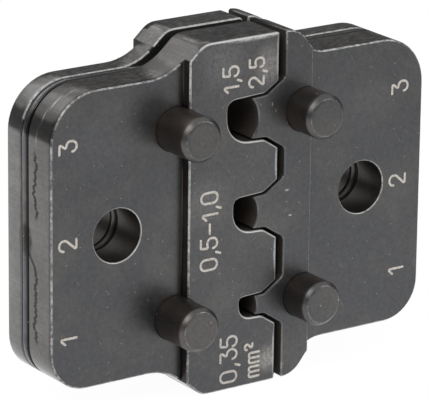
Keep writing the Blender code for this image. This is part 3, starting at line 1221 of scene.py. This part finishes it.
@dataclass(frozen=True)
class Studio:
    """The pale floor, the soft lamps, the white surroundings and the camera."""

    aim: Point = (-1.419, -1.279, 17.136)
    azimuth: float = 34.702
    elevation: float = 17.644
    roll: float = 0.676
    distance: float = 330.52
    lens: float = 306.86
    sensor: float = 36.0
    clip: Span = (0.01, 10.0)
    floor_size: float = 4.0
    floor_tone: Colour = (0.80, 0.80, 0.80)
    floor_white: float = 0.92
    floor_glow: float = 1.05
    sheet: Span = (170.0, 120.0)
    ambient: float = 0.55
    overhead: float = 0.72
    horizon: float = 0.10
    tent_edge: Span = (0.40, 0.56)
    lamps: tuple[Lamp, ...] = (
        Lamp("key", (-250.0, -180.0, 330.0), 220.0, 0.5),
        Lamp("fill", (280.0, -300.0, 160.0), 260.0, 0.4),
        Lamp("back", (-120.0, 320.0, 240.0), 240.0, 0.1),
    )

    def build(self) -> None:
        """Set up everything round the object."""
        bpy.context.scene.view_settings.view_transform = "Standard"
        self._floor()
        self._surroundings()
        for lamp in self.lamps:
            lamp.hang(self.aim)
        self._camera()

    def _floor(self) -> None:
        """Lay a wide floor under the die."""
        shape = bmesh.new()
        bmesh.ops.create_grid(shape, x_segments=1, y_segments=1, size=self.floor_size / 2)
        mesh = bpy.data.meshes.new("floor")
        shape.to_mesh(mesh)
        shape.free()
        material, graph = new_material("pale_floor")
        matt = graph.node("ShaderNodeBsdfDiffuse", {}, {"Color": solid(self.floor_tone)})
        near = graph.smooth(graph.distance(graph.place(), (0, 0, 0)), *self.sheet)
        mirrored = graph.node("ShaderNodeLightPath", output="Is Glossy Ray")
        glow = self.floor_glow * (1 - mirrored * (1 - near) * (1 - self.horizon))
        white = graph.node("ShaderNodeEmission", {}, {"Color": (1, 1, 1, 1), "Strength": glow})
        share = self._seen(graph) * self.floor_white
        graph.end(graph.node("ShaderNodeMixShader", {}, {0: share, 1: matt, 2: white}))
        mesh.materials.append(material)
        floor = bpy.data.objects.new("floor", mesh)
        bpy.context.scene.collection.objects.link(floor)

    def _surroundings(self) -> None:
        """Surround the die with white that lights it no more than an ordinary room."""
        world = bpy.data.worlds.new("studio")
        world.use_nodes = True
        bpy.context.scene.world = world
        graph = Graph(world.node_tree)
        height = graph.axis(graph.node("ShaderNodeTexCoord", output="Generated"), "Z")
        rise = graph.smooth(height, *self.tent_edge)
        tent = self.horizon + rise * (self.overhead - self.horizon)
        glossy = graph.node("ShaderNodeLightPath", output="Is Glossy Ray")
        plain = self.ambient + self._seen(graph) * (1 - self.ambient)
        strength = plain + glossy * (tent - plain)
        white = {"Color": (1, 1, 1, 1), "Strength": strength}
        graph.end(graph.node("ShaderNodeBackground", {}, white), "ShaderNodeOutputWorld")

    def _seen(self, graph: Graph) -> Signal:
        """Give 1 where the camera, a reflection or a clear body shows the background.

        Args:
            graph: The graph of the floor or the world.

        Returns:
            The signal.
        """
        seen = graph.node("ShaderNodeLightPath", output="Is Camera Ray")
        for ray in ("Is Glossy Ray", "Is Transmission Ray"):
            seen = graph.maths("MAXIMUM", seen, graph.node("ShaderNodeLightPath", output=ray))
        return seen

    def _camera(self) -> None:
        """Set up the camera at the photograph's angle."""
        turn = math.radians(self.azimuth)
        lift = math.radians(self.elevation)
        level = math.cos(lift)
        back = Vector((-math.sin(turn) * level, -math.cos(turn) * level, math.sin(lift)))
        right = Vector((math.cos(turn), -math.sin(turn), 0))
        axes = Matrix((right, back.cross(right), back)).transposed()
        rolled = axes @ Matrix.Rotation(math.radians(self.roll), 3, "Z")
        place = (Vector(self.aim) + back * self.distance) * MM
        data = bpy.data.cameras.new("camera")
        data.sensor_width = self.sensor
        data.lens = self.lens
        data.clip_start, data.clip_end = self.clip
        camera = bpy.data.objects.new("camera", data)
        camera.matrix_world = Matrix.Translation(place) @ rolled.to_4x4()
        bpy.context.scene.collection.objects.link(camera)
        bpy.context.scene.camera = camera


@dataclass(frozen=True)
class DieHalf:
    """One half of the die: two plates, a spacer, two pins and the marks on its front."""

    name: str
    plate_finishes: dict[Facing, dict[Skin, bpy.types.Material]]
    spacer_finish: bpy.types.Material
    pin_side: bpy.types.Material
    mark_finish: bpy.types.Material
    legends: tuple[Legend, ...]
    worn: tuple[Worn, ...]

    @property
    def body(self) -> str:
        """Name the body that the half is."""
        return self.name + "_die"

    def build(self) -> None:
        """Build every piece of the half."""
        for facing in Facing:
            node = f"{self.name}_{facing.value}_plate"
            finishes = self.plate_finishes[facing]
            Plate(node, self.body, "blackened_steel", finishes, self.worn).build()
        bore = self.plate_finishes[Facing.FRONT][Skin.BORE]
        node = self.name + "_spacer"
        Spacer(node, self.body, "ground_steel", self.spacer_finish, bore).build()
        for level in ("upper", "lower"):
            self._pin(f"{self.name}_{level}_pin")
        for legend in self.legends:
            name = f"{self.name}_mark_{legend.label}"
            Mark(name, self.body, legend, self.mark_finish).build()

    def _pin(self, node: str) -> None:
        """Build a pin, whose tip shows rings round its own centre.

        Args:
            node: The pin's node.
        """
        low, high = box_of(node)
        tip = OxideSteel(
            name=node + "_tip",
            tone=(0.108, 0.106, 0.108),
            cloud=(0.122, 0.117, 0.113),
            roughness=0.36,
            grain=Grain.RINGS,
            grain_depth=0.25,
            grain_scale=4.5,
            centre=tuple((low + high) / 2),
            wear=0.6,
        )
        DowelPin(node, self.body, "dowel_steel", self.pin_side, tip.material()).build()


def place_legends(baseline: float) -> tuple[Legend, ...]:
    """Number the three places along an ear.

    Args:
        baseline: Where the numbers stand, across the die.

    Returns:
        The numbers, from the lowest to the highest.
    """
    places = (("low", "1", 7.2), ("middle", "2", 15.9), ("high", "3", 24.8))
    return tuple(
        Legend("place_" + place, number, baseline, start, EAR_FACE)
        for place, number, start in places
    )


NEST_LEGENDS = (
    Legend("large_first", "1,5", -1.15, 28.08, MIDDLE_FACE, 1.87),
    Legend("large_second", "2,5", 1.63, 28.2, MIDDLE_FACE, 1.8),
    Legend("medium", "0,5-1,0", -3.25, 11.8, MIDDLE_FACE),
    Legend("small", "0,35", -0.95, 0.6, MIDDLE_FACE),
    Legend("unit", "mm^", 1.55, 0.6, MIDDLE_FACE, 1.8),
    *place_legends(-17.55),
)
ANVIL_LEGENDS = place_legends(18.65)

# The first box that holds a point gives its wear.
HOLE_WEAR = (
    Worn((-16.2, -3.8, 13.7), (-10.6, -3.4, 19.3), 0.98),
    Worn((10.6, -3.8, 13.7), (16.2, -3.4, 19.3), 0.85),
)
INNER_WEAR = (
    Worn((-21.0, 1.3, 4.0), (-20.0, 1.55, 27.0), 0.3),
    Worn((-21.0, 1.3, 27.0), (21.0, 1.55, 33.1), 0.85),
    Worn((-21.0, 1.3, 0.0), (21.0, 1.55, 27.0), 0.6),
)
NEST_WEAR = (
    *HOLE_WEAR,
    Worn((-6.7, -4.7, 15.0), (-6.2, -4.3, 33.0), 0.85),
    Worn((-6.7, -4.7, 0.0), (-6.2, -4.3, 15.0), 0.7),
    Worn((-6.2, -4.7, 32.5), (3.5, -4.3, 33.0), 1.3),
    Worn((2.9, -4.7, 0.3), (3.2, -4.2, 32.7), 1.2),
    Worn((3.2, -4.7, 0.3), (3.6, -4.2, 32.7), 0.2),
    Worn((-2.5, -5.0, 0.3), (3.6, -4.0, 32.7), 1.1),
    Worn((-2.5, -4.0, 0.3), (3.6, 5.0, 32.7), 0.6),
    *INNER_WEAR,
)
ANVIL_WEAR = (
    *HOLE_WEAR,
    Worn((0.0, -5.0, 0.3), (4.2, 5.0, 32.7), 0.4),
    *INNER_WEAR,
)

# Tones of the stains.
HAZE = (0.25, 0.25, 0.25)
SCUFF = (0.36, 0.355, 0.35)
BLUISH = (0.5, 0.5, 0.55)
CHIPPED = (0.5, 0.5, 0.52)

FACE_STAINS_AND_HIGHLIGHT = (
    # Broad, faint clouds over the middle and the ears.
    StainOrPaintedLight((-2.0, MIDDLE_FACE, 17.0), 15.0, 0.07, stretch=(1.6, 1, 1)),
    StainOrPaintedLight((-1.0, MIDDLE_FACE, 30.5), 6.5, 0.12),
    # The bright mottled patch beside the upper marks.
    StainOrPaintedLight((2.1, MIDDLE_FACE, 30.0), 2.9, 0.8, (0.36, 0.35, 0.34), (1.5, 1, 1)),
    StainOrPaintedLight((-14.0, EAR_FACE, 26.0), 8.0, 0.17, HAZE, (0.8, 1, 1.6)),
    StainOrPaintedLight((12.0, EAR_FACE, 26.0), 10.0, 0.12, HAZE, (1, 1, 1.3)),
    StainOrPaintedLight((-3.2, MIDDLE_FACE, 31.4), 3.6, 0.5, (0.24, 0.24, 0.25)),
    # A painted highlight along the top edge of the middle.
    StainOrPaintedLight((0.4, MIDDLE_FACE, 33.0), 0.5, 1.0, (0.95, 0.94, 0.93), (0.11, 1, 1)),
    StainOrPaintedLight((2.4, MIDDLE_FACE, 2.2), 1.7, 0.85),
    StainOrPaintedLight((-4.4, MIDDLE_FACE, 18.5), 3.2, 0.2),
    # Small chips beside the mating edges.
    StainOrPaintedLight((4.28, MIDDLE_FACE, 18.02), 0.3, 1.2, BLUISH, (1, 1, 2.2)),
    StainOrPaintedLight((4.67, MIDDLE_FACE, 15.57), 0.3, 1.2, BLUISH, (1, 1, 2.5)),
    StainOrPaintedLight((2.5, MIDDLE_FACE, 26.4), 0.3, 1.2, CHIPPED, (2.6, 1, 1)),
    StainOrPaintedLight((2.9, MIDDLE_FACE, 25.7), 0.25, 1.2, CHIPPED, (2.4, 1, 1)),
    # The light lines in front of the nest half's flats.
    *(
        StainOrPaintedLight((3.03, MIDDLE_FACE, height), 0.2, 2.0, (0.42, 0.42, 0.43), (1, 1, 0.2 / half))
        for height, half in NEST_FLATS
    ),
)
HEEL_SMUDGE = StainOrPaintedLight((OUTER_EDGE, 0.55, 16.3), 1.45, 3.0, DARK, (1, 1.1, 0.75))
WALL_STAINS_AND_SHADE = (
    HEEL_SMUDGE,
    # Painted shade that darkens the rear plate's shoulder.
    StainOrPaintedLight((-7.0, 2.5, 30.5), 5.5, 0.65, (0.05, 0.048, 0.047)),
    # Nicks at the ends of the nest half, and one at the anvil's ear.
    StainOrPaintedLight((-4.9, -2.3, 32.9), 0.28, 1.2, SCUFF, (1, 0.16, 1)),
    StainOrPaintedLight((-5.0, 3.2, 32.8), 0.28, 1.2, SCUFF, (1, 0.16, 1)),
    StainOrPaintedLight((8.0, -3.8, 30.2), 0.8, 2.0, DARK, (0.6, 1, 1)),
    StainOrPaintedLight((10.1, -3.75, 30.2), 0.4, 2.0, (0.5, 0.49, 0.48), (0.6, 1, 1)),
)
# A pale line round the front ear's upper corner, and a painted highlight along the rear plate's
# front rim at that corner.
PALE_CORNER_LINE = tuple(
    StainOrPaintedLight(point, 1.25, 1.3, (0.40, 0.395, 0.39), (1, 8, 1))
    for point in (
        (-20.2, -1.2, 26.3),
        (-19.67, -1.45, 27.9),
        (-18.6, -1.75, 29.1),
        (-17.2, -2.1, 29.95),
        (-15.8, -2.5, 30.2),
    )
)
REAR_RIM_HIGHLIGHT = StainOrPaintedLight((-18.0, 1.4, 29.6), 5.5, 1.6, (0.36, 0.36, 0.38), (1, 14, 1))
# Painted light on the spacer round the nest half's upper outer corner.
SPACER_CORNER_LIGHT = StainOrPaintedLight((-18.2, 0.9, 29.4), 4.6, 1.5, (0.24, 0.24, 0.25), (1, 2, 1))
EDGE_TEAR = Tear(
    edge=OUTER_EDGE,
    depth=-1.1,
    swing=3.6,
    width=0.30,
    spans=((6.6, 15.9), (18.2, 25.0)),
    root=(13.4, 15.6),
)
# Where the painted shade on the front ears' walls ends, across the die.
FRONT_LIP_SHADE = -3.5


def wall_steel(facing: Facing) -> OxideSteel:
    """Describe the outer walls of the plates on one side of the die.

    Args:
        facing: The side.

    Returns:
        The finish.
    """
    front = facing is Facing.FRONT
    return OxideSteel(
        name=facing.value + "_ground_wall",
        tone=(0.136, 0.131, 0.128) if front else (0.176, 0.174, 0.170),
        cloud=(0.166, 0.158, 0.151) if front else (0.205, 0.201, 0.195),
        roughness=0.16,
        grain=Grain.THROUGH,
        grain_depth=0.25,
        # Painted light and shade on the ends.
        end_painted_light=1.5,
        # Painted shade in the seam.
        seam=SEAM,
        # Painted shade on the ears' walls behind the front face.
        lip=FRONT_LIP_SHADE if front else None,
        stains_and_light=WALL_STAINS_AND_SHADE + (PALE_CORNER_LINE if front else (REAR_RIM_HIGHLIGHT,)),
        tear=EDGE_TEAR if front else None,
    )


def plate_steels(facing: Facing) -> dict[Skin, bpy.types.Material]:
    """Make the finishes of the plates on one side of the die.

    Args:
        facing: The side.

    Returns:
        The material of each kind of surface.
    """
    side = facing.value
    steels = {
        Skin.FACE: OxideSteel(
            name=side + "_oxide_face",
            tone=(0.099, 0.100, 0.104),
            cloud=(0.116, 0.115, 0.114),
            roughness=0.36,
            scratched=True,
            stains_and_light=FACE_STAINS_AND_HIGHLIGHT if facing is Facing.FRONT else (),
        ),
        Skin.WALL: wall_steel(facing),
        Skin.RIM: OxideSteel(
            name=side + "_broken_edge",
            tone=(0.14, 0.14, 0.145),
            cloud=(0.20, 0.195, 0.19),
            roughness=0.32,
        ),
        Skin.BORE: OxideSteel(
            name=side + "_bored_wall",
            tone=(0.066, 0.059, 0.054),
            cloud=(0.090, 0.080, 0.072),
            specks=None,
        ),
        # Painted shade: a dark, matt steel for the mating walls and the inner broken edge at the
        # seam.
        Skin.MATING_SHADED: OxideSteel(
            name=side + "_mating_wall",
            tone=(0.040, 0.034, 0.030),
            cloud=(0.050, 0.042, 0.037),
            metallic=0.0,
            roughness=0.7,
            specular=0.2,
            specks=None,
        ),
        # Painted shade: a dark steel for the ends of the raised middle.
        Skin.STEP: OxideSteel(
            name=side + "_step_wall",
            tone=(0.050, 0.044, 0.040),
            cloud=(0.075, 0.066, 0.058),
            roughness=0.45,
            grain=Grain.THROUGH,
        ),
    }
    return {skin: steel.material() for skin, steel in steels.items()}


SPACER_STEEL = OxideSteel(
    name="ground_spacer",
    tone=(0.110, 0.111, 0.117),
    cloud=(0.130, 0.129, 0.129),
    roughness=0.2,
    grain=Grain.THROUGH,
    soot=0.3,
    # Painted light and shade on the ends.
    end_painted_light=1.5,
    # Painted shade in the seam.
    seam=SEAM,
    stains_and_light=(SPACER_CORNER_LIGHT, HEEL_SMUDGE),
)
PIN_STEEL = OxideSteel(
    name="turned_side",
    tone=(0.086, 0.076, 0.070),
    cloud=(0.112, 0.090, 0.077),
    grain_depth=0.1,
    wear_span=(0.9, 1.2),
)


def main() -> None:
    """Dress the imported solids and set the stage."""
    logging.basicConfig(level=logging.INFO, format="%(message)s")
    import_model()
    Studio().build()
    plates = {facing: plate_steels(facing) for facing in Facing}
    steels = (plates, SPACER_STEEL.material(), PIN_STEEL.material(), LaserMark().material())
    DieHalf("nest", *steels, NEST_LEGENDS, NEST_WEAR).build()
    DieHalf("anvil", *steels, ANVIL_LEGENDS, ANVIL_WEAR).build()


if __name__ == "__main__":
    main()
